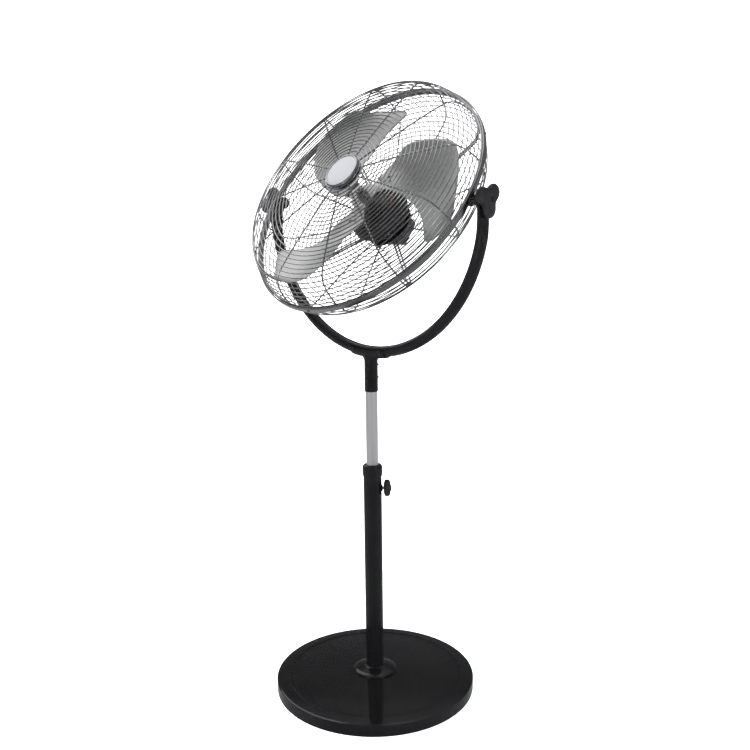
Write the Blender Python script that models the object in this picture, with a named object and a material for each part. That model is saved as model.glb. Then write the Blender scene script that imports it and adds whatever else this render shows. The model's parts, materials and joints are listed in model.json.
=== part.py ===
"""Pedestal air mover: a caged axial fan tilts in a U-yoke, on a telescopic pole and a round heavy base.

Metres, +Z up. The origin is the middle of the floor face. The pole's axis is Z, the yoke lies in the XZ
plane, and the fan blows towards -Y, tilted up by TILT. Head pieces are drawn with the fan's axis as Z.
"""

import math

import bmesh
import bpy
from mathutils import Vector

# Clearances
GAP = 0.0003
HOLE_GAP = 0.0004

# Base and pole
BASE_R = 0.2285
BASE_SKIN = 0.0015
BALLAST_BOTTOM = 0.0080
BALLAST_THICK = 0.0065
POLE_R = 0.0203
POLE_WALL = 0.0016
POLE_FOOT = 0.0375
POLE_TOP = 0.5300
COLLAR_BOTTOM = 0.5080
COLLAR_TOP = 0.5350
COLLAR_R = 0.0225
FLANGE_R = 0.0505
LOCK_HEIGHT = 0.4790
LOCK_HEADING = math.radians(44)
LOCK_KNOB_R = 0.0193

# Mast
MAST_R = 0.0133
MAST_WALL = 0.0014
MAST_FOOT = 0.2700
MAST_TOP = 0.7620
SLEEVE_R = 0.0148
SLEEVE_BOTTOM = 0.7000
MAST_SCREW_HEIGHTS = {"lower": 0.7280, "upper": 0.7560}

# Yoke: half a circle of tube with two short arms that lean in a little and are pressed flat at the pivots
YOKE_R = 0.3000
YOKE_TUBE_R = 0.0120
YOKE_WALL = 0.0014
YOKE_CENTRE_Z = 1.0880
PIVOT_Z = 1.1020
ARM_LEAN = 0.0040
ARM_LEAN_START = 1.0200
ARM_END_R = 0.0165
ARM_FLAT_HALF = 0.0035
PRESS_LOW = PIVOT_Z - 0.066
PRESS_HIGH = PIVOT_Z - 0.044
ARM_X = YOKE_R - ARM_LEAN
SADDLE_HALF = 0.0480
SADDLE_R = YOKE_TUBE_R + 0.0030
SADDLE_SCREW_X = 0.0380

# Cage, in the head's own frame, whose Z is the fan's axis
TILT = math.radians(38)
RIM_Z = 0.0150
RIM_R = 0.2740
RIM_HALF = 0.0065
BAND_R = 0.2800
WIRE = 0.0030
FRONT_WIRE_Z = RIM_Z + 0.0035
REAR_WIRE_Z = RIM_Z - 0.0035
SPOKES = 12
SPOKE_START = math.radians(16.5)
RIM_SCREWS = 6
BADGE_R = 0.0395
PLATE_R = 0.0540
PLATE_Z = -0.0776
PLATE_SKIN = 0.0018
BOSS_R = 0.0132

# Motor and blades
MOTOR_FRONT_R = 0.0655
MOTOR_REAR_R = 0.0545
MOTOR_WALL = 0.0025
MOTOR_SPLIT = -0.0470
SHAFT_R = 0.0050
BLADES = 3
BLADE_ROOT = 0.0450
BLADE_TIP = 0.2520
BLADE_Z = 0.0212
BLADE_SKIN = 0.0012
BOX_X = 0.0400
BOX_Y = 0.0300
BOX_BACK = -0.1120


def clear_scene():
    for obj in list(bpy.data.objects):
        bpy.data.objects.remove(obj)


def material(name, colour, metallic, roughness):
    made = bpy.data.materials.new(name)
    made.use_nodes = True
    shader = made.node_tree.nodes["Principled BSDF"]
    shader.inputs["Base Color"].default_value = (*colour, 1)
    shader.inputs["Metallic"].default_value = metallic
    shader.inputs["Roughness"].default_value = roughness
    return made


def empty(name, at, turn=(0, 0, 0), parent=None):
    made = bpy.data.objects.new(name, None)
    bpy.context.scene.collection.objects.link(made)
    made.parent = parent
    made.location = at
    made.rotation_euler = turn
    return made


def place(name, bm, finish, parent=None, at=(0, 0, 0), turn=(0, 0, 0)):
    """Makes the object that holds a bmesh, shaded smooth except across sharp edges."""
    bmesh.ops.recalc_face_normals(bm, faces=bm.faces)
    mesh = bpy.data.meshes.new(name)
    bm.to_mesh(mesh)
    bm.free()
    mesh.shade_smooth()
    mesh.set_sharp_from_angle(angle=math.radians(35))
    if finish:
        mesh.materials.append(finish)
    obj = bpy.data.objects.new(name, mesh)
    bpy.context.scene.collection.objects.link(obj)
    obj.parent = parent
    obj.location = at
    obj.rotation_euler = turn
    return obj


def combine(target, helper, operation="DIFFERENCE"):
    helper.hide_render = True
    helper.display_type = "WIRE"
    change = target.modifiers.new(helper.name, "BOOLEAN")
    change.operation = operation
    change.object = helper


def revolve(loop, sides, reach=None):
    """Turns a closed loop of (radius, height) points about Z. reach(radius, angle) makes it not round."""
    bm = bmesh.new()
    rings = []
    for radius, height in loop:
        if radius == 0:
            rings.append([bm.verts.new((0, 0, height))])
            continue
        ring = []
        for step in range(sides):
            angle = 2 * math.pi * step / sides
            out = reach(radius, angle) if reach else radius
            ring.append(bm.verts.new((out * math.cos(angle), out * math.sin(angle), height)))
        rings.append(ring)
    for near, far in zip(rings, rings[1:] + rings[:1]):
        for step in range(sides):
            after = step + 1
            corners = [near[step % len(near)], near[after % len(near)]]
            corners += [far[after % len(far)], far[step % len(far)]]
            corners = list(dict.fromkeys(corners))
            if len(corners) > 2:
                bm.faces.new(corners)
    return bm


def loft(rings):
    """Joins rings of equally many points into a closed solid with flat ends."""
    bm = bmesh.new()
    verts = [[bm.verts.new(point) for point in ring] for ring in rings]
    bm.faces.new(verts[0])
    bm.faces.new(reversed(verts[-1]))
    for near, far in zip(verts, verts[1:]):
        for step in range(len(near)):
            after = (step + 1) % len(near)
            bm.faces.new((near[step], near[after], far[after], far[step]))
    return bm


def bore(radius, sides):
    """The radius of a ring of points whose flat sides clear a round of this radius by GAP."""
    return (radius + GAP) / math.cos(math.pi / sides)


def rod(radius, low, high):
    return [(0, low), (radius, low), (radius, high), (0, high)]


def ring_loop(inner, outer, low, high):
    return [(inner, low), (outer, low), (outer, high), (inner, high)]


def box(low, high):
    bm = bmesh.new()
    bmesh.ops.create_cube(bm, size=1)
    middle = (Vector(low) + Vector(high)) / 2
    extent = Vector(high) - Vector(low)
    for vert in bm.verts:
        vert.co = Vector(c * e for c, e in zip(vert.co, extent)) + middle
    return bm


def thicken(points, skin):
    """Closes an open (radius, height) line into a loop by adding the same line, skin below or inside it."""
    inner = []
    for index, (radius, height) in enumerate(points):
        before = Vector(points[max(index - 1, 0)])
        after = Vector(points[min(index + 1, len(points) - 1)])
        along = (after - before).normalized()
        inner.append((radius + along.y * skin, height - along.x * skin))
    return list(points) + inner[::-1]


def smooth_step(value):
    value = min(max(value, 0), 1)
    return value * value * (3 - 2 * value)


def drill(target, name, radius, at, turn, depth, sides=8, parent=None):
    tool = place(name, revolve(rod(radius, -depth, depth), sides), None, parent, at, turn)
    combine(target, tool)


def make_base(looks):
    """The pressed cover has an upright side, a sloping rim, a shallow step and a slightly domed field."""
    field = [(BASE_R - 0.0320, 0.0298), (0.1000, 0.0352), (0.0072, 0.0370)]
    rim = [(BASE_R, 0.0010), (BASE_R, 0.0255), (BASE_R - 0.0020, 0.0280), (BASE_R - 0.0280, 0.0314)]
    # The line runs inwards, so its inner copy has to be taken below it.
    cover = thicken((rim + field)[::-1], BASE_SKIN)
    place("base_cover", revolve(cover, 36), looks["gloss_black"])

    low = BALLAST_BOTTOM
    high = low + BALLAST_THICK
    ballast = [(0.0068, low + 0.0034), (0.0230, low + 0.0034), (0.0230, low), (0.2150, low)]
    ballast += [(0.2150, high), (0.0068, high)]
    place("base_ballast", revolve(ballast, 32), looks["iron"])

    plate = [(0, 0), (0.0300, 0), (0.0315, 0.0022), (0.2260, 0.0022), (0.2260, 0.0040), (0.0300, 0.0040)]
    place("base_underplate", revolve(plate + [(0.0285, 0.0030), (0, 0.0030)], 32), looks["matte_black"])
    place("foot_ring", revolve(ring_loop(0.2000, 0.2200, 0, 0.0019), 32), looks["rubber"])

    nut = ring_loop(bore(0.0060, 6), 0.0120, low - 0.0035, low + 0.0030)
    place("base_nut", revolve(nut, 6), looks["steel"])
    inner = POLE_R - POLE_WALL - GAP
    anchor = [(0, 0.0040), (0.0060, 0.0040), (0.0060, POLE_FOOT)]
    anchor += [(inner, POLE_FOOT), (inner, 0.0700), (0, 0.0700)]
    place("pole_anchor", revolve(anchor, 16), looks["steel"])

    flange = [(POLE_R + 0.0016, 0.0505), (POLE_R + 0.0030, 0.0480), (FLANGE_R - 0.0050, 0.0430)]
    flange += [(FLANGE_R - 0.0008, 0.0405), (FLANGE_R, 0.0375)]
    place("base_flange", revolve(thicken(flange, 0.0012), 28), looks["gloss_black"])


def make_pole(looks):
    wall = ring_loop(POLE_R - POLE_WALL, POLE_R, POLE_FOOT, POLE_TOP)
    pole = place("lower_tube", revolve(wall, 24), looks["gloss_black"])
    collar = [(POLE_R + GAP, COLLAR_BOTTOM), (POLE_R + 0.0012, COLLAR_BOTTOM)]
    collar += [(COLLAR_R, COLLAR_BOTTOM + 0.0040), (COLLAR_R, COLLAR_TOP - 0.0060)]
    collar += [(COLLAR_R - 0.0045, COLLAR_TOP)]
    collar += [(MAST_R + 2 * GAP, COLLAR_TOP), (MAST_R + 2 * GAP, POLE_TOP + 0.0005)]
    collar += [(POLE_R + GAP, POLE_TOP + 0.0005)]
    place("pole_collar", revolve(collar, 24), looks["matte_black"])
    bush = ring_loop(MAST_R + GAP, POLE_R - POLE_WALL - GAP, COLLAR_BOTTOM - 0.003, POLE_TOP)
    place("guide_bush", revolve(bush, 16), looks["nylon"])

    # The lock's own frame: Z points out of the pole towards the knob.
    lock = empty("height_lock_axis", (0, 0, LOCK_HEIGHT), (0, math.pi / 2, LOCK_HEADING))
    boss = revolve(rod(0.0070, POLE_R - POLE_WALL + 0.0001, POLE_R + 0.0015), 14)
    combine(pole, place("add_lock_boss", boss, None, lock), "UNION")
    drill(pole, "cut_lock_hole", 0.0041, (0, 0, POLE_R), (0, 0, 0), POLE_R / 2, parent=lock)
    seat = POLE_R + 0.0018
    foot = seat + 0.0025
    stud = [(0, MAST_R + GAP), (0.0035, MAST_R + GAP), (0.0035, seat), (0.0052, seat)]
    stud += [(0.0052, seat + 0.0010), (0.0035, seat + 0.0010), (0.0035, foot + 0.0074), (0, foot + 0.0074)]
    place("height_lock_stud", revolve(stud, 12), looks["steel"], lock)

    def lobed(radius, angle):
        return radius * (1 - 0.11 * (1 - math.cos(6 * angle)) / 2) if radius > 0.010 else radius

    knob = [(0, foot + 0.0080), (0.0039, foot + 0.0080), (0.0039, foot), (0.0110, foot)]
    knob += [(LOCK_KNOB_R, foot + 0.0024), (LOCK_KNOB_R, foot + 0.0128), (0.0140, foot + 0.0154)]
    knob += [(0.0065, foot + 0.0154), (0.0060, foot + 0.0172), (0, foot + 0.0172)]
    place("height_lock_knob", revolve(knob, 24, lobed), looks["matte_black"], lock)


def make_mast(looks):
    inner = MAST_R - MAST_WALL
    plug_r = POLE_R - POLE_WALL - 2 * GAP
    plug = [(0, MAST_FOOT - 0.022), (plug_r, MAST_FOOT - 0.022)]
    plug += [(plug_r, MAST_FOOT - GAP), (inner - GAP, MAST_FOOT - GAP), (inner - GAP, MAST_FOOT + 0.018)]
    plug += [(0, MAST_FOOT + 0.018)]
    place("mast_end_plug", revolve(plug, 16), looks["nylon"])

    tube = place("upper_tube", revolve(ring_loop(inner, MAST_R, MAST_FOOT, MAST_TOP), 20), looks["silver"])
    tee = make_tee(looks)
    for name, height in MAST_SCREW_HEIGHTS.items():
        for target in (tube, tee):
            cut = f"cut_{target.name}_{name}"
            drill(target, cut, 0.0020 + HOLE_GAP, (0, 0, height), (math.pi / 2, 0, 0), 0.03)
        cross_bolt(f"mast_screw_{name}", looks, (0, 0, height), SLEEVE_R + GAP)
    return tee


def cross_bolt(name, looks, at, seat):
    """A bolt along Y and its nut: the head is on the -Y side at seat, the nut on the +Y side."""
    nut = seat + 0.0034
    end = nut + 0.0050
    loop = [(0, -end), (0.0020, 0.0008 - end), (0.0020, -nut), (0.0040, -nut), (0.0040, -seat)]
    loop += [(0.0020, -seat), (0.0020, seat), (0.0038, seat), (0.0030, seat + 0.0022), (0, seat + 0.0027)]
    place(name, revolve(loop, 10), looks["dark_steel"], None, at, (math.pi / 2, 0, 0))


def yoke_station(place_on, half_wide, half_deep, boxy, sides=8):
    """One ring of the yoke's section. place_on is an angle on the half circle, or a height on an arm."""
    kind, value, side = place_on
    if kind == "arc":
        outward = Vector((side * math.sin(value), 0, -math.cos(value)))
        centre = Vector((0, 0, YOKE_CENTRE_Z)) + outward * YOKE_R
    else:
        outward = Vector((side, 0, 0))
        centre = Vector((side * YOKE_R, 0, value))
    lean = ARM_LEAN * smooth_step((centre.z - ARM_LEAN_START) / (PIVOT_Z - ARM_LEAN_START))
    centre.x -= side * lean
    ring = []
    power = 1 - 0.55 * boxy
    for step in range(sides):
        angle = 2 * math.pi * step / sides
        across = math.copysign(abs(math.cos(angle)) ** power, math.cos(angle)) * half_wide
        deep = math.copysign(abs(math.sin(angle)) ** power, math.sin(angle)) * half_deep
        ring.append(centre + outward * across + Vector((0, deep, 0)))
    return ring


def yoke_rings(shrink, top):
    """Rings from the left arm's end, down round the half circle and up to the right arm's end."""
    arcs = [math.radians(a) for a in (0, 10, 20, 30, 40, 50, 60, 70, 79, 82, 84.4)]
    places = [("arc", angle) for angle in arcs]
    heights = [YOKE_CENTRE_Z] + [PIVOT_Z + rise for rise in top]
    places += [("arm", height) for height in heights]

    def ring(kind, value, side):
        height = YOKE_CENTRE_Z - YOKE_R * math.cos(value) if kind == "arc" else value
        flat = smooth_step((height - PRESS_LOW) / (PRESS_HIGH - PRESS_LOW))
        half_wide = YOKE_TUBE_R + (ARM_FLAT_HALF - YOKE_TUBE_R) * flat
        half_deep = YOKE_TUBE_R + (ARM_END_R - YOKE_TUBE_R) * flat
        if height > PIVOT_Z:
            half_deep = math.sqrt(ARM_END_R ** 2 - (height - PIVOT_Z) ** 2)
        return yoke_station((kind, value, side), half_wide - shrink, half_deep - shrink, flat)

    left = [ring(kind, value, -1) for kind, value in places[:0:-1]]
    right = [ring(kind, value, 1) for kind, value in places]
    # Each ring starts on its outer side, so the two halves match where they meet at the bottom.
    return left + right


def make_yoke(looks, tee):
    yoke = place("yoke", loft(yoke_rings(0, (0.007, 0.0130, 0.0158))), looks["gloss_black"])
    hollow = place("cut_yoke_hollow", loft(yoke_rings(YOKE_WALL, (0.007,))), None)
    combine(yoke, hollow)
    for side, word in ((-1, "left"), (1, "right")):
        drill(yoke, f"cut_pivot_{word}", 0.0044, (side * ARM_X, 0, PIVOT_Z), (0, math.pi / 2, 0), 0.02)
        rise = YOKE_R - math.sqrt(YOKE_R ** 2 - SADDLE_SCREW_X ** 2)
        at = (side * SADDLE_SCREW_X, 0, YOKE_CENTRE_Z - YOKE_R + rise)
        for target in (yoke, tee):
            cut = f"cut_{target.name}_saddle_{word}"
            drill(target, cut, 0.0020 + HOLE_GAP, at, (math.pi / 2, 0, 0), 0.03)
        cross_bolt(f"saddle_screw_{word}", looks, at, SADDLE_R + GAP)


def make_tee(looks):
    """A saddle that follows the yoke's lowest stretch, above a sleeve that the upper tube goes into."""
    sleeve = [(0, SLEEVE_BOTTOM), (SLEEVE_R - 0.0004, SLEEVE_BOTTOM), (SLEEVE_R, SLEEVE_BOTTOM + 0.0012)]
    flare = YOKE_CENTRE_Z - YOKE_R - SADDLE_R
    sleeve += [(SLEEVE_R, flare - 0.0118), (SLEEVE_R + 0.0060, flare + 0.0027), (0, flare + 0.0112)]
    tee = place("tee_bracket", revolve(sleeve, 16), looks["gloss_black"])

    def saddle_ring(angle, radius, spread, steps):
        outward = Vector((math.sin(angle), 0, -math.cos(angle)))
        centre = Vector((0, 0, YOKE_CENTRE_Z)) + outward * YOKE_R
        ring = []
        for step in range(steps + 1):
            turn = math.radians(spread) * (2 * step / steps - 1)
            ring.append(centre + outward * radius * math.cos(turn) + Vector((0, radius * math.sin(turn), 0)))
        return ring

    half = SADDLE_HALF / YOKE_R
    outer = loft([saddle_ring(half * step / 2, SADDLE_R, 100, 9) for step in range(-2, 3)])
    combine(tee, place("add_saddle", outer, None), "UNION")
    wide = 1.3 * half
    clear = bore(YOKE_TUBE_R, 12)
    tunnel = loft([saddle_ring(wide * step / 3, clear, 180 - 180 / 12, 11) for step in range(-3, 4)])
    combine(tee, place("cut_yoke_seat", tunnel, None))
    socket = MAST_TOP + GAP - SLEEVE_BOTTOM
    drill(tee, "cut_mast_socket", MAST_R + GAP, (0, 0, SLEEVE_BOTTOM), (0, 0, 0), socket, 16)
    return tee


def lattice(name, rings, finish, parent):
    """A wire cage as one sheet with thickness: a band for each ring, joined by straight spokes."""
    between = 2
    half = WIRE / 2
    stations = []
    for index, centre in enumerate(rings):
        along = Vector(rings[min(index + 1, len(rings) - 1)]) - Vector(rings[max(index - 1, 0)])
        along.normalize()
        stations += [Vector(centre) - along * half, Vector(centre) + along * half]
    bm = bmesh.new()
    grid = []
    for radius, height in stations:
        row = []
        edge = math.asin(half / radius)
        pitch = 2 * math.pi / SPOKES
        for spoke in range(SPOKES):
            start = SPOKE_START + spoke * pitch
            angles = [start - edge, start + edge]
            step = (pitch - 2 * edge) / between
            angles += [start + edge + step * k for k in range(1, between)]
            row += [bm.verts.new((radius * math.cos(a), radius * math.sin(a), height)) for a in angles]
        grid.append(row)
    columns = len(grid[0])
    for level in range(len(grid) - 1):
        on_ring = level % 2 == 0
        for column in range(columns):
            if on_ring or column % (between + 1) == 0:
                after = (column + 1) % columns
                low, high = grid[level], grid[level + 1]
                bm.faces.new((low[column], low[after], high[after], high[column]))
    cage = place(name, bm, finish, parent)
    shell = cage.modifiers.new("wire", "SOLIDIFY")
    shell.thickness = WIRE * 0.8
    shell.offset = 0
    return cage


def make_cage(looks, head):
    front = [(RIM_R, FRONT_WIRE_Z), (0.2660, 0.0500), (0.2440, 0.0770), (0.1400, 0.0895), (0.0390, 0.0945)]
    lattice("front_grille", front, looks["chrome"], head)
    rear = [(RIM_R, REAR_WIRE_Z), (0.2675, -0.0180), (0.2440, -0.0430), (0.1550, -0.0550), (0.0520, -0.0755)]
    lattice("rear_grille", rear, looks["chrome"], head)

    low = RIM_Z - RIM_HALF
    high = RIM_Z + RIM_HALF
    lip = bore(RIM_R + 0.0018, 36)
    wall = 0.0012
    band = [(BAND_R, low), (BAND_R, high), (lip, high), (lip, high - wall), (BAND_R - wall, high - wall)]
    band += [(BAND_R - wall, low + wall), (lip, low + wall), (lip, low)]
    rim = place("rim_band", revolve(band, 36), looks["chrome"], head)
    screw = [(0, RIM_R - 0.004), (0.0014, RIM_R - 0.004), (0.0014, BAND_R + GAP), (0.0036, BAND_R + GAP)]
    screw += [(0.0030, BAND_R + 0.0022), (0, BAND_R + 0.0024)]
    for number in range(RIM_SCREWS):
        # Each screw sits midway between two spokes.
        heading = SPOKE_START + math.pi / SPOKES + 2 * math.pi * number / RIM_SCREWS
        turn = (0, math.pi / 2, heading)
        at = (0, 0, RIM_Z)
        place(f"rim_screw_{number + 1}", revolve(screw, 10), looks["steel"], head, at, turn)
        seat = (BAND_R * math.cos(turn[2]), BAND_R * math.sin(turn[2]), RIM_Z)
        drill(rim, f"cut_rim_{number + 1}", 0.0018, seat, turn, 0.004, parent=head)

    bezel = [(BADGE_R, 0.0962), (BADGE_R - 0.0012, 0.1004), (0.0354, 0.1004), (0.0354, 0.0978)]
    bezel += [(0.0325, 0.0978), (0.0325, 0.0900), (0.0350, 0.0900), (0.0350, 0.0962)]
    place("badge_bezel", revolve(bezel, 28), looks["chrome"], head)
    face = [(0, 0.0981), (0.0351, 0.0981), (0.0351, 0.0992), (0, 0.1004)]
    place("badge_face", revolve(face, 28), looks["badge"], head)


def make_pivots(looks):
    """On each side a bolt runs through the cage's rim, a boss, the yoke's arm, a washer and a knob."""
    arm_face = ARM_X + ARM_FLAT_HALF
    reach_in = BAND_R + 0.0008
    lobe_turn = math.radians(10)

    def three_lobed(radius, angle):
        depth = 0.42 * smooth_step((radius - 0.010) / 0.015)
        return radius * (1 - depth * (1 - math.cos(3 * (angle - lobe_turn))) / 2)

    for side, word in ((-1, "left"), (1, "right")):
        # The pivot's own frame: Z points out of the cage, and X down on the right and up on the left.
        pivot = empty(f"tilt_axis_{word}", (0, 0, PIVOT_Z), (0, side * math.pi / 2, 0))
        disc = ring_loop(0.0043, BOSS_R, RIM_R - 0.0080, RIM_R - 0.0040)
        place(f"pivot_inner_disc_{word}", revolve(disc, 18), looks["matte_black"], pivot)
        boss = [(0.0043, reach_in), (BOSS_R - 0.0020, reach_in), (BOSS_R, reach_in + 0.0025)]
        boss += [(BOSS_R, ARM_X - ARM_FLAT_HALF - GAP), (0.0043, ARM_X - ARM_FLAT_HALF - GAP)]
        place(f"pivot_boss_{word}", revolve(boss, 18), looks["matte_black"], pivot)
        seat = RIM_R - 0.0083
        bolt = [(0, seat - 0.0045), (0.0055, seat - 0.0045), (0.0065, seat - 0.0035), (0.0065, seat)]
        bolt += [(0.0039, seat), (0.0039, arm_face + 0.0125), (0, arm_face + 0.0125)]
        place(f"tilt_bolt_{word}", revolve(bolt, 12), looks["steel"], pivot)
        washer = ring_loop(0.0043, 0.0125, arm_face + GAP, arm_face + 0.0017)
        place(f"tilt_washer_{word}", revolve(washer, 18), looks["nylon"], pivot)
        foot = arm_face + 0.0017 + GAP
        knob = [(0, foot + 0.0112), (0.0043, foot + 0.0112), (0.0043, foot), (0.0110, foot)]
        knob += [(0.0125, foot + 0.0025), (0.0350, foot + 0.0030), (0.0360, foot + 0.0085)]
        knob += [(0.0310, foot + 0.0126), (0.0050, foot + 0.0158), (0.0046, foot + 0.0128)]
        knob += [(0, foot + 0.0128)]
        place(f"tilt_knob_{word}", revolve(knob, 24, three_lobed), looks["matte_black"], pivot)


def make_motor(looks, head):
    """A wide front shell, closed by the flange of a narrower rear shell, holds the wound core."""
    split = MOTOR_SPLIT
    front_in = MOTOR_FRONT_R - MOTOR_WALL
    front = [(MOTOR_FRONT_R, split + GAP), (MOTOR_FRONT_R, -0.0290), (0.0600, -0.0215), (0.0500, -0.0180)]
    front += [(0.0200, -0.0165), (0.0175, -0.0125), (0.0065, -0.0125), (0.0065, -0.0145)]
    front += [(0.0114, -0.0145), (0.0114, -0.0220), (0.0145, -0.0220), (0.0150, -0.0190)]
    front += [(0.0490, -0.0205), (0.0585, -0.0240), (front_in, -0.0300), (front_in, split + GAP)]
    place("motor_front_housing", revolve(front, 20), looks["motor_black"], head)
    rear_in = MOTOR_REAR_R - MOTOR_WALL
    rear = [(MOTOR_FRONT_R, split - GAP), (MOTOR_FRONT_R, split - 0.0022), (MOTOR_REAR_R, split - 0.0022)]
    rear += [(MOTOR_REAR_R, -0.0640), (0.0490, -0.0712), (0.0200, -0.0735), (0.0180, -0.0770), (0, -0.0770)]
    rear += [(0, -0.0745), (0.0114, -0.0745), (0.0114, -0.0680), (0.0145, -0.0680), (0.0150, -0.0708)]
    rear += [(0.0480, -0.0690), (rear_in, -0.0630), (rear_in, split - GAP)]
    place("motor_rear_housing", revolve(rear, 20), looks["motor_black"], head)
    core = ring_loop(0.0346, rear_in - GAP, split - 0.0140, split + 0.0140)
    place("stator_core", revolve(core, 20), looks["steel"], head)
    # The winding lies along the core's bore and is folded out over both of its ends.
    coil = [(0.0330, split - 0.0200), (0.0460, split - 0.0200), (0.0485, split - 0.0170)]
    coil += [(0.0480, split - 0.0144), (0.0338, split - 0.0144), (0.0338, split + 0.0144)]
    coil += [(0.0480, split + 0.0144), (0.0485, split + 0.0170), (0.0460, split + 0.0200)]
    coil += [(0.0330, split + 0.0200)]
    place("stator_winding", revolve(coil, 16), looks["copper"], head)
    for name, low in (("bearing_front", -0.0218), ("bearing_rear", -0.0741)):
        place(name, revolve(ring_loop(SHAFT_R + GAP, 0.0111, low, low + 0.0068), 14), looks["steel"], head)

    plate = ring_loop(0.0100, PLATE_R, PLATE_Z - PLATE_SKIN, PLATE_Z)
    place("motor_plate", revolve(plate, 24), looks["matte_black"], head)


def make_controls(looks, head):
    """A box behind the motor plate holds the speed switch with its knob, the capacitor and the gland."""
    wall = 0.0020
    front = PLATE_Z - PLATE_SKIN - GAP
    case = box((-BOX_X, -BOX_Y, BOX_BACK), (BOX_X, BOX_Y, front))
    upright = [edge for edge in case.edges if abs(edge.verts[0].co.z - edge.verts[1].co.z) > wall]
    bmesh.ops.bevel(case, geom=upright, offset=0.006, segments=2, affect="EDGES")
    shell = place("switch_box", case, looks["matte_black"], head)
    inside = box((wall - BOX_X, wall - BOX_Y, BOX_BACK + wall), (BOX_X - wall, BOX_Y - wall, front + 0.01))
    combine(shell, place("cut_switch_box", inside, None, head))
    drill(shell, "cut_spindle", 0.0036, (0, 0, BOX_BACK), (0, 0, 0), 0.005, parent=head)

    floor = BOX_BACK + wall + GAP
    body = box((-0.011, -0.011, floor), (0.011, 0.011, floor + 0.014))
    switch = place("speed_switch", body, looks["nylon"], head)
    drill(switch, "cut_switch", 0.0034, (0, 0, floor), (0, 0, 0), 0.010, parent=head)
    place("capacitor", box((0.0140, -0.0230, floor), (0.0350, 0.0230, floor + 0.0190)), looks["nylon"], head)

    def pointed(radius, angle):
        nose = max(math.cos(angle - math.pi / 2), 0) ** 12
        return radius * (1 + 0.10 * nose) if radius > 0.012 else radius

    start = BOX_BACK - GAP
    knob = [(0, floor + 0.008), (0.0030, floor + 0.008), (0.0030, start), (0.0175, start)]
    knob += [(0.0175, start - 0.003), (0.0145, start - 0.0050), (0.0130, start - 0.0155)]
    knob += [(0, start - 0.0163)]
    place("speed_knob", revolve(knob, 24, pointed), looks["matte_black"], head)

    gland_at = (-0.0220, -BOX_Y, BOX_BACK + 0.014)
    turn = (math.pi / 2, 0, 0)
    drill(shell, "cut_gland", 0.0062, gland_at, turn, 0.006, 14, head)
    gland = [(0.0036, -0.0040), (0.0058, -0.0040), (0.0058, GAP), (0.0092, GAP), (0.0092, 0.0040)]
    gland += [(0.0072, 0.0050), (0.0066, 0.0110), (0.0050, 0.0150), (0.0036, 0.0150)]
    place("cable_gland", revolve(gland, 14), looks["matte_black"], head, gland_at, turn)


def blade_point(radius, across, turn):
    """A point of a blade's sheet. across runs from -1 at the trailing edge to 1 at the leading edge."""
    span = (radius - BLADE_ROOT) / (BLADE_TIP - BLADE_ROOT)
    middle = math.radians(40 - 45.5 * span ** 1.1)
    half = math.radians(28.5 - 2 * span)
    half *= 0.85 + 0.15 * smooth_step((radius - BLADE_ROOT) / 0.035)
    corner = (radius - 0.2185) / (BLADE_TIP + 0.0015 - 0.2185)
    if corner > 0:
        half *= math.sqrt(1 - corner ** 2)
    twist = smooth_step((radius - 0.072) / 0.070)
    lift = twist * (0.0225 * across - 0.006 * (1 - across ** 2) + 0.0088 - 0.0071 * span)
    angle = turn + middle + half * across
    return Vector((radius * math.cos(angle), radius * math.sin(angle), BLADE_Z + lift))


def make_rotor(looks, head):
    spin = empty("fan_axis", (0, 0, 0), parent=head)
    shaft = [(0, -0.0735), (SHAFT_R, -0.0735), (SHAFT_R, 0.0330), (0.0040, 0.0335)]
    shaft += [(0.0040, 0.0420), (0, 0.0420)]
    place("motor_shaft", revolve(shaft, 16), looks["steel"], spin)
    core = ring_loop(bore(SHAFT_R, 20), 0.0315, -0.0600, -0.0340)
    place("rotor_core", revolve(core, 20), looks["steel"], spin)

    def three_armed(radius, angle):
        if radius < 0.020:
            return radius
        arm = max(math.cos(3 * (angle - math.radians(40))), 0) ** 0.8
        return 0.0300 + (radius - 0.0300) * arm

    hub = [(SHAFT_R + GAP, 0.0040), (0.0125, 0.0040), (0.0125, 0.0180), (0.0700, 0.0180), (0.0700, 0.0202)]
    hub += [(0.0125, 0.0202), (0.0125, 0.0325), (SHAFT_R + GAP, 0.0325)]
    place("blade_hub", revolve(hub, 24, three_armed), looks["steel"], spin)
    place("hub_nut", revolve(ring_loop(bore(0.0040, 6), 0.0090, 0.0337, 0.0400), 6), looks["steel"], spin)

    radii = [BLADE_ROOT, 0.072, 0.092, 0.120, 0.165, 0.2185, 0.2385, BLADE_TIP]
    crosses = [-1 + step / 2 for step in range(5)]
    for number in range(BLADES):
        turn = 2 * math.pi * number / BLADES
        bm = bmesh.new()
        grid = [[bm.verts.new(blade_point(r, c, turn)) for c in crosses] for r in radii]
        for near, far in zip(grid, grid[1:]):
            for step in range(len(crosses) - 1):
                bm.faces.new((near[step], near[step + 1], far[step + 1], far[step]))
        blade = place(f"blade_{number + 1}", bm, looks["aluminium"], spin)
        skin = blade.modifiers.new("sheet", "SOLIDIFY")
        skin.thickness = BLADE_SKIN
        skin.offset = 0


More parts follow.
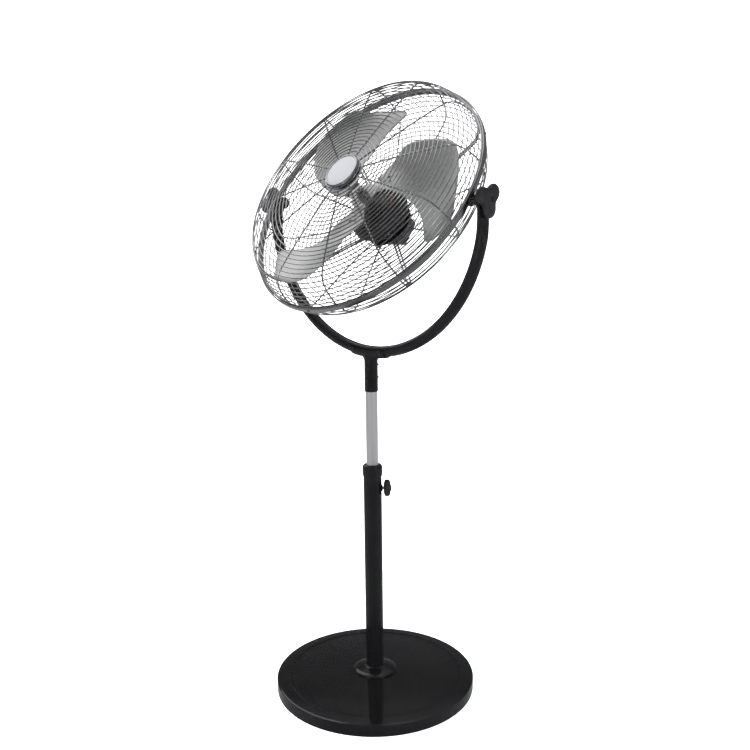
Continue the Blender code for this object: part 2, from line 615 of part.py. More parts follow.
def main():
    clear_scene()
    looks = {
        "gloss_black": material("gloss_black", (0.012, 0.012, 0.013), 0.0, 0.12),
        "matte_black": material("matte_black", (0.020, 0.020, 0.021), 0.0, 0.45),
        "motor_black": material("motor_black", (0.015, 0.015, 0.016), 0.2, 0.35),
        "silver": material("silver", (0.46, 0.46, 0.47), 0.6, 0.35),
        "chrome": material("chrome", (0.78, 0.78, 0.80), 1.0, 0.12),
        "steel": material("steel", (0.60, 0.60, 0.60), 1.0, 0.30),
        "dark_steel": material("dark_steel", (0.05, 0.05, 0.05), 0.8, 0.35),
        "aluminium": material("aluminium", (0.55, 0.55, 0.56), 1.0, 0.35),
        "iron": material("iron", (0.10, 0.10, 0.10), 0.6, 0.70),
        "copper": material("copper", (0.60, 0.25, 0.12), 1.0, 0.40),
        "nylon": material("nylon", (0.70, 0.69, 0.66), 0.0, 0.50),
        "rubber": material("rubber", (0.020, 0.020, 0.020), 0.0, 0.85),
        "badge": material("badge", (0.80, 0.80, 0.82), 0.3, 0.25),
    }
    make_base(looks)
    make_pole(looks)
    make_yoke(looks, make_mast(looks))
    head = empty("head_axis", (0, 0, PIVOT_Z), (math.pi / 2 - TILT, 0, 0))
    make_cage(looks, head)
    make_pivots(looks)
    make_motor(looks, head)
    make_controls(looks, head)
    make_rotor(looks, head)


main()
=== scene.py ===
"""Looks of the pedestal air mover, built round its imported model: fine meshes, materials, light and camera.

Metres, +Z up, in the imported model's frame. Pieces of the head are drawn in the fan's own frame, whose Z is
the fan's axis, and pieces of a lock or a pivot in a frame whose Z points out along its screw.
"""

import json
import math

import bmesh
import bpy
from mathutils import Matrix, Vector


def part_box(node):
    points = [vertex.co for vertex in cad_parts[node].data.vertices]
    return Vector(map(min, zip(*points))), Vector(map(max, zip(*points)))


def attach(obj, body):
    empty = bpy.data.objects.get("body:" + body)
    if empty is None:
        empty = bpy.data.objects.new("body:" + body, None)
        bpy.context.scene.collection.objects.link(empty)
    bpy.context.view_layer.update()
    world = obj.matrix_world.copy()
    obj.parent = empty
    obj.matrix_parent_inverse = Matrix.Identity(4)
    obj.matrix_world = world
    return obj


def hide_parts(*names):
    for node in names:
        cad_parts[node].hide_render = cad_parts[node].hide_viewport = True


# Camera, at the photograph's angle
CAMERA_DISTANCE = 1.9477
CAMERA_HEIGHT = 1.0922
CAMERA_HEADING = math.radians(44.17)
CAMERA_PITCH = math.radians(13.20)
CAMERA_ROLL = math.radians(-0.77)
CAMERA_LENS = 43.73
CAMERA_SHIFT = (0.0043, 0.0598)

# Light
SWEEP_GLOW = 1.0
WORLD_FRONT = 0.12
WORLD_BACK = 1.15

# Fineness of round shapes
COARSE_SIDES = 24
FINE_SIDES = 48
POLE_SIDES = 72
SHELL_SIDES = 96
WIDE_SIDES = 144

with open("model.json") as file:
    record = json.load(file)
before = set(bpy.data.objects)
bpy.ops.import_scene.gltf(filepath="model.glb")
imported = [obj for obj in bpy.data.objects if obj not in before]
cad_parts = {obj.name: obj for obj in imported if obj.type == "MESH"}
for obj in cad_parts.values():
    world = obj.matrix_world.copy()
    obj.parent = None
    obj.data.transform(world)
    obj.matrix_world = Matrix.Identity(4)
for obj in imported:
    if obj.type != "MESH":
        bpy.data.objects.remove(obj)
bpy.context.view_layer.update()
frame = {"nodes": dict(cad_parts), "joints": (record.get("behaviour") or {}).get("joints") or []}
NODES = frame["nodes"]
JOINTS = {joint["name"]: joint for joint in frame["joints"]}


def turned(angle, axis):
    return Matrix.Rotation(angle, 4, axis)


def moved(x, y, z):
    return Matrix.Translation((x, y, z))


def axis_frame(origin, z_axis, x_axis):
    """A frame at origin whose Z is z_axis and whose X is as near x_axis as it can be."""
    z_axis = Vector(z_axis).normalized()
    y_axis = z_axis.cross(Vector(x_axis)).normalized()
    made = Matrix((y_axis.cross(z_axis), y_axis, z_axis)).transposed().to_4x4()
    made.translation = origin
    return made


PIVOT = Vector(JOINTS["head_tilt"]["pos_m"])
HEAD = axis_frame(PIVOT, JOINTS["blade_spin"]["axis"], (1, 0, 0))
LOCK = axis_frame(
    (0, 0, JOINTS["height_lock_turn"]["pos_m"][2]), JOINTS["height_lock_turn"]["axis"], (0, 0, -1)
)
SIDES = {"left": -1, "right": 1}
PIVOTS = {word: moved(*PIVOT) @ turned(side * math.pi / 2, "Y") for word, side in SIDES.items()}


def span(node, within=Matrix()):
    """Inner radius, outer radius, lowest and highest point of a CAD node about a frame's Z."""
    into = within.inverted()
    points = [into @ vert.co for vert in NODES[node].data.vertices]
    radii = [math.hypot(point.x, point.y) for point in points]
    heights = [point.z for point in points]
    return min(radii), max(radii), min(heights), max(heights)


def widest(node, low, high, within=Matrix()):
    """The largest radius of a CAD node between two heights of a frame."""
    into = within.inverted()
    points = [into @ vert.co for vert in NODES[node].data.vertices]
    return max(math.hypot(point.x, point.y) for point in points if low <= point.z <= high)


def smooth_step(value):
    """Runs from 0 to 1 with level ends."""
    value = min(max(value, 0), 1)
    return value * value * (3 - 2 * value)


def around(count):
    """Evenly spaced angles of a full turn."""
    return [2 * math.pi * step / count for step in range(count)]


def shares(count):
    """Evenly spaced numbers from -1 to 1."""
    return [2 * step / count - 1 for step in range(count + 1)]


def polar(radius, angle, height=0):
    """A point at an angle about Z."""
    return Vector((radius * math.cos(angle), radius * math.sin(angle), height))


def ring_outline(inner, outer, low, high):
    """The outline of a plain ring, from what span says."""
    return [(inner, low), (outer, low), (outer, high), (inner, high)]


def rounded(points, size, steps=3, closed=True):
    """Rounds the corners of a (radius, height) outline with short curves, but for those on the axis."""
    made = []
    count = len(points)
    for index, point in enumerate(points):
        if point[0] == 0 or (not closed and index in (0, count - 1)):
            made.append(Vector(point))
            continue
        corner = Vector(point)
        before = Vector(points[index - 1]) - corner
        after = Vector(points[(index + 1) % count]) - corner
        start = corner + before.normalized() * min(size, before.length * 0.45)
        end = corner + after.normalized() * min(size, after.length * 0.45)
        for step in range(steps + 1):
            t = step / steps
            made.append(start * (1 - t) ** 2 + corner * 2 * t * (1 - t) + end * t * t)
    return made


def curve_through(points, steps=8):
    """A smooth line through the points, as a Catmull-Rom spline."""
    points = [Vector(point) for point in points]
    ends = [2 * points[0] - points[1], *points, 2 * points[-1] - points[-2]]
    made = []
    for before, start, end, after in zip(ends, ends[1:], ends[2:], ends[3:]):
        for step in range(steps):
            t = step / steps
            made.append(
                0.5
                * (
                    2 * start
                    + (end - before) * t
                    + (2 * before - 5 * start + 4 * end - after) * t * t
                    + (3 * start - before - 3 * end + after) * t * t * t
                )
            )
    return made + [points[-1]]


def lathe(bm, outline, sides, reach=None, within=Matrix()):
    """Turns a closed (radius, height) outline about Z. reach(radius, height, angle) changes the radius."""
    rings = []
    for radius, height in outline:
        if radius == 0:
            rings.append([bm.verts.new(within @ Vector((0, 0, height)))])
            continue
        ring = []
        for angle in around(sides):
            out = reach(radius, height, angle) if reach else radius
            ring.append(bm.verts.new(within @ polar(out, angle, height)))
        rings.append(ring)
    for near, far in zip(rings, rings[1:] + rings[:1]):
        for step in range(sides):
            after = step + 1
            corners = [near[step % len(near)], near[after % len(near)]]
            corners += [far[after % len(far)], far[step % len(far)]]
            corners = list(dict.fromkeys(corners))
            if len(corners) > 2:
                bm.faces.new(corners)


def lathed(outline, sides, reach=None, within=Matrix()):
    """A new bmesh with one turned shape."""
    bm = bmesh.new()
    lathe(bm, outline, sides, reach, within)
    return bm


def hoop(bm, radius, height, wire, sides=WIDE_SIDES, turns=8):
    """A ring of round wire about Z."""
    lathe(bm, [(radius + wire * math.cos(a), height + wire * math.sin(a)) for a in around(turns)], sides)


def loft(bm, rings, capped=True):
    """Joins rings of equally many points."""
    verts = [[bm.verts.new(point) for point in ring] for ring in rings]
    if capped:
        bm.faces.new(verts[0])
        bm.faces.new(reversed(verts[-1]))
    for near, far in zip(verts, verts[1:]):
        for step in range(len(near)):
            after = (step + 1) % len(near)
            bm.faces.new((near[step], near[after], far[after], far[step]))


def rod(bm, line, radius, sides=8):
    """A round wire along a line of points, with flat ends."""
    line = [Vector(point) for point in line]
    along = (line[1] - line[0]).normalized()
    across = along.orthogonal().normalized()
    rings = []
    for index, point in enumerate(line):
        ahead = line[min(index + 1, len(line) - 1)] - line[max(index - 1, 0)]
        across = (across - ahead * across.dot(ahead) / ahead.length_squared).normalized()
        other = ahead.normalized().cross(across)
        rings.append([point + (across * math.cos(a) + other * math.sin(a)) * radius for a in around(sides)])
    loft(bm, rings)


def hexagon(bm, across_flats, low, high, within=Matrix(), chamfer=0.0006):
    """A hexagonal head or nut with chamfered ends."""
    outer = across_flats / math.sqrt(3)
    outline = [(0, low), (outer - chamfer, low), (outer, low + chamfer), (outer, high - chamfer)]
    outline += [(outer - chamfer, high), (0, high)]
    lathe(bm, outline, 6, within=within)


def pan_head(bm, radius, seat, within=Matrix()):
    """A domed screw head above seat, with a cross on top."""
    rise = radius * 0.62
    outline = [(0, seat), (radius * 0.97, seat), (radius, seat + rise * 0.15)]
    outline += [(radius * 0.9, seat + rise * 0.6), (radius * 0.55, seat + rise * 0.92), (0, seat + rise)]
    lathe(bm, rounded(outline, radius * 0.15), COARSE_SIDES, within=within)
    bar = Matrix.Diagonal((radius, radius * 0.16, radius * 0.10, 1))
    for turn in (0, math.pi / 2):
        verts = bmesh.ops.create_cube(bm, size=1)["verts"]
        place = within @ moved(0, 0, seat + rise) @ turned(turn, "Z") @ bar
        bmesh.ops.transform(bm, verts=verts, matrix=place)


def thread(bm, radius, low, high, within=Matrix(), pitch=0.0012):
    """A screw's threaded shank, drawn as close rings."""
    root = radius * 0.84
    outline = [(0, low)]
    steps = max(int((high - low) / pitch), 1)
    for step in range(steps):
        start = low + (high - low) * step / steps
        outline += [(root, start), (radius, start + (high - low) / steps / 2)]
    outline += [(root, high), (0, high)]
    lathe(bm, outline, COARSE_SIDES // 2, within=within)


def piece(name, bm, body, finish, within, replaces, sharp):
    """Makes a bmesh an object with its body and slot, in place of the CAD nodes it stands for."""
    bmesh.ops.transform(bm, verts=bm.verts, matrix=within)
    bmesh.ops.recalc_face_normals(bm, faces=bm.faces)
    mesh = bpy.data.meshes.new(name)
    bm.to_mesh(mesh)
    bm.free()
    mesh.shade_smooth()
    mesh.set_sharp_from_angle(angle=math.radians(sharp))
    mesh.materials.append(finish)
    obj = bpy.data.objects.new(name, mesh)
    bpy.context.scene.collection.objects.link(obj)
    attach(obj, body)
    if replaces:
        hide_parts(*replaces)
    return obj


# ---------------------------------------------------------------- materials


def principled(name, colour, metallic, roughness, **sockets):
    made = bpy.data.materials.new(name)
    made.use_nodes = True
    shader = made.node_tree.nodes["Principled BSDF"]
    shader.inputs["Base Color"].default_value = (*colour, 1)
    shader.inputs["Metallic"].default_value = metallic
    shader.inputs["Roughness"].default_value = roughness
    for socket, value in sockets.items():
        shader.inputs[socket.replace("_", " ")].default_value = value
    return made


def noise(made, scale, detail=3, stretch=(1, 1, 1)):
    """A noise texture in the piece's own coordinates."""
    nodes, links = made.node_tree.nodes, made.node_tree.links
    place = nodes.new("ShaderNodeTexCoord")
    size = nodes.new("ShaderNodeMapping")
    size.inputs["Scale"].default_value = stretch
    links.new(place.outputs["Object"], size.inputs["Vector"])
    pattern = nodes.new("ShaderNodeTexNoise")
    pattern.inputs["Scale"].default_value = scale
    pattern.inputs["Detail"].default_value = detail
    links.new(size.outputs["Vector"], pattern.inputs["Vector"])
    return pattern.outputs["Fac"]


def bump(made, pattern, strength, depth):
    """Adds a bump to the shader's normal. A second call stacks on the first."""
    nodes, links = made.node_tree.nodes, made.node_tree.links
    target = nodes["Principled BSDF"].inputs["Normal"]
    relief = nodes.new("ShaderNodeBump")
    relief.inputs["Strength"].default_value = strength
    relief.inputs["Distance"].default_value = depth
    links.new(pattern, relief.inputs["Height"])
    if target.is_linked:
        links.new(target.links[0].from_socket, relief.inputs["Normal"])
    links.new(relief.outputs["Normal"], target)


def vary(made, pattern, socket, low, high):
    """Lets a number of the shader run from low to high with a pattern."""
    nodes, links = made.node_tree.nodes, made.node_tree.links
    spread = nodes.new("ShaderNodeMapRange")
    spread.inputs["From Min"].default_value = 0.3
    spread.inputs["From Max"].default_value = 0.7
    spread.inputs["To Min"].default_value = low
    spread.inputs["To Max"].default_value = high
    links.new(pattern, spread.inputs["Value"])
    links.new(spread.outputs["Result"], nodes["Principled BSDF"].inputs[socket])


def tint(made, pattern, dark, light):
    """Lets the base colour run from dark to light with a pattern."""
    nodes, links = made.node_tree.nodes, made.node_tree.links
    ramp = nodes.new("ShaderNodeValToRGB")
    ramp.color_ramp.elements[0].position = 0.35
    ramp.color_ramp.elements[1].position = 0.65
    ramp.color_ramp.elements[0].color = (*dark, 1)
    ramp.color_ramp.elements[1].color = (*light, 1)
    links.new(pattern, ramp.inputs["Fac"])
    links.new(ramp.outputs["Color"], nodes["Principled BSDF"].inputs["Base Color"])


def gloss_black():
    """Powder coat: deep black, glossy, with the faint ripple of sprayed and baked paint."""
    made = principled("gloss_black_coat", (0.006, 0.006, 0.0065), 0.0, 0.08, Specular_IOR_Level=0.45)
    tint(made, noise(made, 9, 4), (0.0050, 0.0050, 0.0055), (0.0072, 0.0070, 0.0076))
    vary(made, noise(made, 14, 5), "Roughness", 0.05, 0.10)
    bump(made, noise(made, 240, 2), 0.03, 0.0003)
    bump(made, noise(made, 1800, 2), 0.03, 0.0001)
    return made


def matte_black():
    """Moulded plastic with a fine grain."""
    made = principled("matte_black_plastic", (0.012, 0.012, 0.013), 0.0, 0.42, Specular_IOR_Level=0.40)
    tint(made, noise(made, 60, 4), (0.010, 0.010, 0.011), (0.015, 0.015, 0.016))
    vary(made, noise(made, 90, 4), "Roughness", 0.36, 0.50)
    bump(made, noise(made, 2600, 3), 0.25, 0.0003)
    return made


def motor_black():
    """Satin enamel over a drawn steel shell."""
    made = principled("motor_black_enamel", (0.012, 0.012, 0.013), 0.0, 0.30)
    tint(made, noise(made, 35, 4), (0.010, 0.010, 0.011), (0.016, 0.016, 0.017))
    vary(made, noise(made, 50, 4), "Roughness", 0.24, 0.38)
    bump(made, noise(made, 900, 3), 0.14, 0.0003)
    return made


def silver_coat():
    """Silver paint: metal flakes under a satin surface."""
    made = principled("silver_satin_paint", (0.52, 0.52, 0.53), 0.75, 0.34)
    tint(made, noise(made, 2400, 2), (0.47, 0.47, 0.48), (0.57, 0.57, 0.58))
    vary(made, noise(made, 40, 4, (1, 1, 0.15)), "Roughness", 0.33, 0.43)
    bump(made, noise(made, 1500, 2), 0.06, 0.0002)
    return made


def chrome():
    """Bright plating over wire, a little uneven from its drawn surface."""
    made = principled("bright_chrome", (0.60, 0.60, 0.605), 1.0, 0.18)
    tint(made, noise(made, 45, 4), (0.56, 0.56, 0.57), (0.64, 0.64, 0.64))
    vary(made, noise(made, 120, 4), "Roughness", 0.16, 0.28)
    bump(made, noise(made, 700, 3), 0.05, 0.0001)
    return made


def bright_steel():
    """Zinc-plated steel of screws, nuts and the hub's spider."""
    made = principled("zinc_plated_steel", (0.62, 0.62, 0.61), 1.0, 0.26)
    tint(made, noise(made, 160, 4), (0.52, 0.52, 0.50), (0.68, 0.68, 0.68))
    vary(made, noise(made, 240, 4), "Roughness", 0.20, 0.34)
    bump(made, noise(made, 1400, 3), 0.10, 0.0002)
    return made


def dark_steel():
    """Black-oxide screws."""
    made = principled("black_oxide_steel", (0.016, 0.016, 0.016), 0.30, 0.34)
    tint(made, noise(made, 220, 4), (0.011, 0.011, 0.011), (0.024, 0.0235, 0.023))
    vary(made, noise(made, 300, 4), "Roughness", 0.24, 0.38)
    return made


def rolled_aluminium():
    """Mill-finish sheet: fine lines along the rolling direction, satin."""
    made = principled("rolled_aluminium", (0.66, 0.66, 0.66), 0.9, 0.36)
    lines = noise(made, 260, 4, (0.06, 1, 1))
    tint(made, noise(made, 12, 4), (0.62, 0.62, 0.62), (0.70, 0.70, 0.695))
    vary(made, lines, "Roughness", 0.32, 0.46)
    bump(made, lines, 0.10, 0.0002)
    return made


def cast_iron():
    made = principled("cast_iron", (0.09, 0.088, 0.085), 0.6, 0.68)
    tint(made, noise(made, 80, 5), (0.06, 0.058, 0.056), (0.13, 0.125, 0.12))
    bump(made, noise(made, 500, 4), 0.5, 0.0006)
    return made


def copper_wire():
    """Enamelled winding: fine parallel wires."""
    made = principled("enamelled_copper", (0.45, 0.17, 0.07), 0.8, 0.35)
    strands = noise(made, 900, 2, (1, 1, 0.05))
    tint(made, strands, (0.28, 0.09, 0.035), (0.62, 0.26, 0.11))
    bump(made, strands, 0.6, 0.0005)
    return made


def nylon():
    made = principled("natural_nylon", (0.66, 0.65, 0.61), 0.0, 0.45, Subsurface_Weight=0.08)
    tint(made, noise(made, 70, 3), (0.61, 0.60, 0.56), (0.70, 0.69, 0.66))
    bump(made, noise(made, 1200, 3), 0.12, 0.0002)
    return made


def rubber():
    made = principled("black_rubber", (0.018, 0.018, 0.018), 0.0, 0.80)
    tint(made, noise(made, 50, 4), (0.014, 0.014, 0.014), (0.026, 0.026, 0.026))
    bump(made, noise(made, 1500, 3), 0.35, 0.0003)
    return made


def badge_face():
    """A pearl-silver printed disc under clear lacquer. It carries no mark."""
    made = principled("pearl_badge", (0.45, 0.455, 0.49), 0.25, 0.34, Coat_Weight=0.3, Coat_Roughness=0.10)
    tint(made, noise(made, 1400, 2), (0.43, 0.435, 0.47), (0.48, 0.485, 0.51))
    return made


LOOKS = {
    "gloss_black": gloss_black(),
    "matte_black": matte_black(),
    "motor_black": motor_black(),
    "silver": silver_coat(),
    "chrome": chrome(),
    "steel": bright_steel(),
    "dark_steel": dark_steel(),
    "aluminium": rolled_aluminium(),
    "iron": cast_iron(),
    "copper": copper_wire(),
    "nylon": nylon(),
    "rubber": rubber(),
    "badge": badge_face(),
}


def add(name, bm, body, slot, within=Matrix(), replaces=(), sharp=38):
    """A piece in the look of its slot."""
    return piece(name, bm, body, LOOKS[slot], within, replaces, sharp)


# ---------------------------------------------------------------- base and pole


def make_base():
    """A pressed cover with an upright side, a sloping rim, a shallow step and a slightly domed field."""
    _, out, _, top = span("base_cover")
    skin = 0.0015
    hole = 0.0190
    groove = 0.0284
    field_edge = (out - 0.0330, 0.0298)
    rim = [(out, 0.0010), (out, 0.0270), (out - 0.0040, groove), (out - 0.0280, 0.0314)]
    rim += [(out - 0.0298, groove), (out - 0.0318, groove), field_edge]
    field = [field_edge, (out - 0.0800, 0.0332), (0.1000, 0.0352), (0.0500, 0.0366), (0.0200, top)]
    outer = rounded(rim, 0.0007, 5, closed=False) + curve_through(field)[1:]
    inner = [Vector((max(point.x - skin, hole), point.y - skin)) for point in outer]
    inner[0].y = outer[0].y
    bm = lathed(outer + inner[::-1], WIDE_SIDES)
    add("base_cover_pressing", bm, "stand", "gloss_black", replaces=["base_cover"])

    inside, outside, low, high = span("foot_ring")
    rib = 0.0008
    bm = lathed(rounded(ring_outline(inside, outside, low + rib / 2, high), 0.0004), WIDE_SIDES)
    for share in (0.15, 0.5, 0.85):
        hoop(bm, inside + (outside - inside) * share, low + rib, rib, turns=10)
    add("foot_ring_ribbed", bm, "stand", "rubber", replaces=["foot_ring"])

    _, outside, low, high = span("base_underplate")
    boss = 0.0300
    plate = [(0, low), (boss, low), (0.0315, low + 0.0022), (outside, low + 0.0022)]
    plate += [(outside, high), (boss, high), (0.0285, low + 0.0030), (0, low + 0.0030)]
    bm = lathed(rounded(plate, 0.0006), WIDE_SIDES)
    add("base_underplate_pressing", bm, "stand", "matte_black", replaces=["base_underplate"])


POLE_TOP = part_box("lower_tube")[1].z
POLE_R = widest("lower_tube", POLE_TOP - 0.002, POLE_TOP)


def make_flange():
    """The dome that hides where the pole meets the base."""
    inside, outside, low, high = span("base_flange")
    skin = 0.0012
    dome = [(inside, high), (inside + 0.0026, high - 0.0024), (0.0350, high - 0.0048)]
    dome += [(0.0440, high - 0.0072), (outside - 0.0010, high - 0.0104), (outside, low)]
    outer = curve_through(dome, 6)
    inner = [Vector((max(point.x - skin, inside), max(point.y - skin, low))) for point in outer]
    bm = lathed(outer + inner[::-1], WIDE_SIDES // 2)
    hoop(bm, inside + 0.0006, high - 0.0002, 0.0009, WIDE_SIDES // 2)
    add("pole_flange_dome", bm, "stand", "gloss_black", replaces=["base_flange"])


def make_lower_tube():
    """The painted tube, with the welded boss that the lock's stud runs through."""
    inner, _, low, high = span("lower_tube")
    boss_r = 0.0071
    bm = lathed(rounded(ring_outline(inner, POLE_R, low, high), 0.0004), POLE_SIDES)
    boss = ring_outline(0, boss_r, POLE_R * 0.9, POLE_R + 0.0015)
    lathe(bm, rounded(boss, 0.0005), COARSE_SIDES, within=LOCK)
    add("lower_tube_painted", bm, "stand", "gloss_black", replaces=["lower_tube"])


def make_collar():
    """A cap on the pole's top that tapers down to it and guides the thinner tube."""
    inner, outer, low, high = span("pole_collar")
    tube = POLE_R + 0.0002
    outline = [(tube, low), (tube + 0.0008, low), (outer - 0.0002, low + 0.0052), (outer, high - 0.0080)]
    outline += [(outer - 0.0012, high - 0.0030), (outer - 0.0050, high), (inner + 0.0012, high)]
    outline += [(inner, high - 0.0012), (inner, high - 0.0045), (tube, high - 0.0045)]
    bm = lathed(rounded(outline, 0.0012, 4), POLE_SIDES)
    add("pole_collar_cap", bm, "stand", "gloss_black", replaces=["pole_collar"])


def make_height_lock():
    """The stud that clamps the mast, and its six-lobed knob."""
    _, _, low, high = span("height_lock_stud", LOCK)
    bm = bmesh.new()
    thread(bm, 0.0035, low, high, LOCK)
    seat = POLE_R + 0.0018
    washer = ring_outline(0.0034, 0.0052, seat, seat + 0.0010)
    lathe(bm, rounded(washer, 0.0003), COARSE_SIDES, within=LOCK)
    add("height_lock_screw", bm, "lock_stud", "steel", replaces=["height_lock_stud"])

    _, outer, low, high = span("height_lock_knob", LOCK)
    lobes = 6
    depth = 0.12
    hub_r = 0.010
    bore = 0.0039

    def lobed(radius, height, angle):
        if radius < hub_r:
            return radius
        return radius * (1 - depth * (0.5 - 0.5 * math.cos(lobes * angle)) ** 1.5)

    outline = [(0, low + 0.0080), (bore, low + 0.0080), (bore, low), (0.0110, low)]
    outline += [(outer, low + 0.0030), (outer, low + 0.0118), (0.0140, high - 0.0020)]
    outline += [(0.0068, high - 0.0018), (0.0060, high), (0, high)]
    bm = lathed(rounded(outline, 0.0009), WIDE_SIDES // 2, lobed, LOCK)
    add("height_lock_handwheel", bm, "lock_knob", "matte_black", replaces=["height_lock_knob"])


# ---------------------------------------------------------------- mast and yoke

YOKE_TUBE_R = 0.0120
YOKE_R = 0.3000
YOKE_CENTRE_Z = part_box("yoke")[0].z + YOKE_R + YOKE_TUBE_R
ARM_LEAN = 0.0040
ARM_LEAN_START = 1.0200
ARM_END_R = 0.0165
ARM_FLAT_HALF = 0.0035
ARM_SQUARENESS = 0.62
YOKE_SIDES = 36
PRESS_LOW = PIVOT.z - 0.066
PRESS_HIGH = PIVOT.z - 0.044


def make_upper_tube():
    bm = lathed(rounded(ring_outline(*span("upper_tube")), 0.0004), FINE_SIDES)
    add("upper_tube_silver", bm, "mast", "silver", replaces=["upper_tube"])


def below(angle):
    """The direction from the yoke's centre to a point of its bend, at an angle from straight down."""
    return Vector((math.sin(angle), 0, -math.cos(angle)))


def yoke_ring(centre, outward):
    """One section of the yoke: a round tube, pressed flat towards the pivot, with a half round end."""
    height = centre.z
    flat = smooth_step((height - PRESS_LOW) / (PRESS_HIGH - PRESS_LOW))
    half_wide = YOKE_TUBE_R + (ARM_FLAT_HALF - YOKE_TUBE_R) * flat
    half_deep = YOKE_TUBE_R + (ARM_END_R - YOKE_TUBE_R) * flat
    if height > PIVOT.z:
        half_deep = math.sqrt(max(ARM_END_R ** 2 - (height - PIVOT.z) ** 2, 1e-8))
    power = 1 - ARM_SQUARENESS * flat
    ring = []
    for angle in around(YOKE_SIDES):
        across = math.copysign(abs(math.cos(angle)) ** power, math.cos(angle)) * half_wide
        deep = math.copysign(abs(math.sin(angle)) ** power, math.sin(angle)) * half_deep
        ring.append(centre + outward * across + Vector((0, deep, 0)))
    return ring


def make_yoke():
    """Half a circle of tube with upright arms, painted, its ends pressed flat round the pivots."""
    bend_steps = 60
    end_steps = 19
    right = []
    for step in range(bend_steps + 1):
        angle = math.radians(90) * step / bend_steps
        outward = below(angle)
        right.append((Vector((0, 0, YOKE_CENTRE_Z)) + outward * YOKE_R, outward))
    for step in range(end_steps + 1):
        end_turn = math.radians(87) * step / end_steps
        right.append((Vector((YOKE_R, 0, PIVOT.z + ARM_END_R * math.sin(end_turn))), Vector((1, 0, 0))))
    for centre, _ in right:
        centre.x -= ARM_LEAN * smooth_step((centre.z - ARM_LEAN_START) / (PIVOT.z - ARM_LEAN_START))
    mirror = Matrix.Diagonal((-1, 1, 1))
    left = [(mirror @ centre, mirror @ outward) for centre, outward in right[:0:-1]]
    bm = bmesh.new()
    loft(bm, [yoke_ring(centre, outward) for centre, outward in left + right])
    add("yoke_painted", bm, "mast", "gloss_black", replaces=["yoke"], sharp=60)


def make_tee():
    """A sleeve that flares into the saddle under the yoke."""
    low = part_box("tee_bracket")[0].z
    sleeve = widest("tee_bracket", low, low + 0.002)
    wall = 0.0016
    seat = YOKE_TUBE_R + 0.0005
    skin = YOKE_TUBE_R + 0.0030
    edge = 0.0006
    half_length = 0.0480
    spread = math.radians(104)
    flare = 0.0105
    flare_steps = 12

    def saddle_point(radius, along, turn):
        outward = below(along / YOKE_R)
        centre = Vector((0, 0, YOKE_CENTRE_Z)) + outward * YOKE_R
        return centre + outward * radius * math.cos(turn) + Vector((0, radius * math.sin(turn), 0))

    def under_saddle(at):
        """The saddle's underside straight above a point, or its widest line beyond that."""
        deep = min(abs(at.y), skin * 0.999)
        centre_z = YOKE_CENTRE_Z - math.sqrt(YOKE_R ** 2 - at.x ** 2)
        return Vector((at.x, math.copysign(deep, at.y), centre_z - math.sqrt(skin ** 2 - deep ** 2)))

    bm = bmesh.new()
    turns = [spread * share for share in shares(28)]
    rings = []
    for share in shares(24):
        outer = skin - edge if abs(share) == 1 else skin
        section = [(outer, turn) for turn in turns] + [(seat, turn) for turn in turns[::-1]]
        rings.append([saddle_point(radius, half_length * share, turn) for radius, turn in section])
    loft(bm, rings)

    columns = []
    for angle in around(FINE_SIDES):
        outward = polar(1, angle)
        meet = under_saddle(outward * sleeve)
        meet.x, meet.y = (outward * sleeve).xy
        top = under_saddle(outward * (sleeve + flare))
        bottom = Vector((*(outward * sleeve).xy, meet.z - flare * 1.15))
        foot = [(sleeve - wall, low), (sleeve - 0.0004, low), (sleeve, low + edge)]
        column = [Vector((*(outward * radius).xy, height)) for radius, height in foot]
        for step in range(flare_steps + 1):
            t = step / flare_steps
            column.append(bottom * (1 - t) ** 2 + meet * 2 * t * (1 - t) + top * t * t)
        columns.append([bm.verts.new(point) for point in column])
    for near, far in zip(columns, columns[1:] + columns[:1]):
        for row in range(len(near) - 1):
            bm.faces.new((near[row], far[row], far[row + 1], near[row + 1]))
    add("tee_bracket_painted", bm, "mast", "gloss_black", replaces=["tee_bracket"])


def make_mast_screws():
    """Cross-headed bolts through the sleeve and the saddle, with nuts at the back."""
    nut = 0.0034
    for name in ("mast_screw_lower", "mast_screw_upper", "saddle_screw_left", "saddle_screw_right"):
        low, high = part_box(name)
        seat = -low.y - 0.0027
        turned_out = moved((low.x + high.x) / 2, 0, (low.z + high.z) / 2) @ turned(math.pi / 2, "X")
        bm = bmesh.new()
        pan_head(bm, 0.0038, seat, turned_out)
        thread(bm, 0.0020, -high.y, seat, turned_out, 0.0010)
        hexagon(bm, 0.0070, -seat - nut, -seat, turned_out)
        add(f"{name}_cross_head", bm, "mast", "dark_steel", replaces=[name])


# ---------------------------------------------------------------- cage

RIM_R = 0.2740
BAND_IN, BAND_R, BAND_LOW, BAND_HIGH = span("rim_band", HEAD)
RIM_Z = (BAND_LOW + BAND_HIGH) / 2
RING_WIRE = 0.0011
SPOKE_WIRE = 0.0016
EDGE_WIRE = 0.0021
SUPPORT_WIRE = 0.0019
WELD_OVERLAP = 0.92
WIDE_RING = 0.12
SPOKES = 12
SPOKE_START = math.radians(16.5)
FRONT_PITCH = 0.0097
REAR_PITCH = 0.0110
FRONT_LINE = [(0.2735, 0.0195), (0.2705, 0.0360), (0.2640, 0.0550), (0.2470, 0.0750), (0.2080, 0.0828)]
FRONT_LINE += [(0.1400, 0.0890), (0.0800, 0.0925), (0.0330, 0.0945)]
REAR_LINE = [(0.2735, 0.0105), (0.2700, -0.0060), (0.2635, -0.0240), (0.2470, -0.0400), (0.2080, -0.0475)]
REAR_LINE += [(0.1400, -0.0570), (0.0900, -0.0660), (0.0510, -0.0750)]


